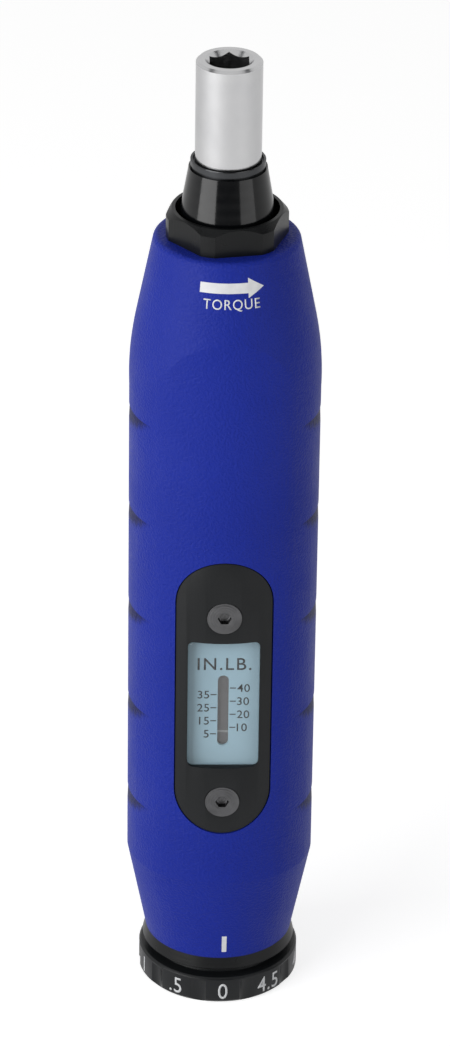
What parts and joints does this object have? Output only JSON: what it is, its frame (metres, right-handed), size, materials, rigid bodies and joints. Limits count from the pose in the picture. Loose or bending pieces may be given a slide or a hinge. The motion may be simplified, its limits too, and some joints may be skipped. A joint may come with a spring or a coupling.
{
  "type": "torque screwdriver",
  "caption": "Adjustable torque screwdriver with a contoured grip, a windowed torque scale, a turning rear dial and a hex bit holder that slips at the set torque.",
  "frame": {"origin": "on the tool's axis, on the flat under the rear knob that it stands on", "axes": "+Z along the axis towards the bit holder, -Y to the scale window, +X to the right as the window is faced"},
  "size_m": [0.032, 0.0294, 0.1718],
  "materials": {
    "grip_plastic": "fine grain, satin",
    "scale_paint": "flat paint with printed scale",
    "clear_window": "clear, polished",
    "bezel_plastic": "satin black",
    "dark_screws": "blackened steel",
    "knob_plastic": "satin black with filled figures",
    "bearing_steel": "polished",
    "black_metal": "black, satin",
    "brass_washer": "plain",
    "turned_steel": "turned",
    "brass_nut": "turned",
    "indicator_metal": "grey with a pale line",
    "spring_steel": "oiled",
    "cone_plastic": "gloss black",
    "ring_metal": "satin",
    "chrome_holder": "bright chrome",
    "magnet_metal": "plated"
  },
  "bodies": {
    "handle": {"handle_body": "grip_plastic", "scale_plate": "scale_paint", "window_lens": "clear_window", "window_bezel": "bezel_plastic", "bezel_screws": "dark_screws", "rear_collar": "black_metal", "thrust_washer": "brass_washer", "thrust_race": "bearing_steel", "thrust_bearing": "bearing_steel", "front_bush": "brass_washer", "nose_nut": "black_metal"},
    "knob": {"adjusting_knob": "knob_plastic", "knob_screw": "dark_screws", "click_plunger": "bearing_steel", "lead_screw": "turned_steel"},
    "nut": {"spring_nut": "brass_nut", "indicator_strip": "indicator_metal", "main_spring": "spring_steel"},
    "plunger": {"clutch_plunger": "turned_steel", "clutch_balls": "bearing_steel"},
    "output": {"output_shaft": "turned_steel", "nose_cone": "cone_plastic", "holder_ring": "ring_metal", "bit_holder": "chrome_holder", "bit_magnet": "magnet_metal"}
  },
  "joints": [
    {"name": "knob_turn", "type": "hinge", "parent": "handle", "child": "knob", "pos_m": [0, 0, 0.003], "axis": [0, 0, 1], "range_deg": [0, 2520]},
    {"name": "nut_slide", "type": "slide", "parent": "handle", "child": "nut", "axis": [0, 0, 1], "range_m": [0, 0.00889], "deforming": ["main_spring"]},
    {"name": "clutch_slide", "type": "slide", "parent": "handle", "child": "plunger", "axis": [0, 0, -1], "range_m": [0, 0.001], "stiffness_N_per_m": 30000, "deforming": ["main_spring"]},
    {"name": "bit_turn", "type": "hinge", "parent": "handle", "child": "output", "pos_m": [0, 0, 0.15], "axis": [0, 0, 1], "continuous": true}
  ],
  "couplings": [
    {"joint": "knob_turn", "follows": "nut_slide", "rad_per_m": 4947.4}
  ]
}
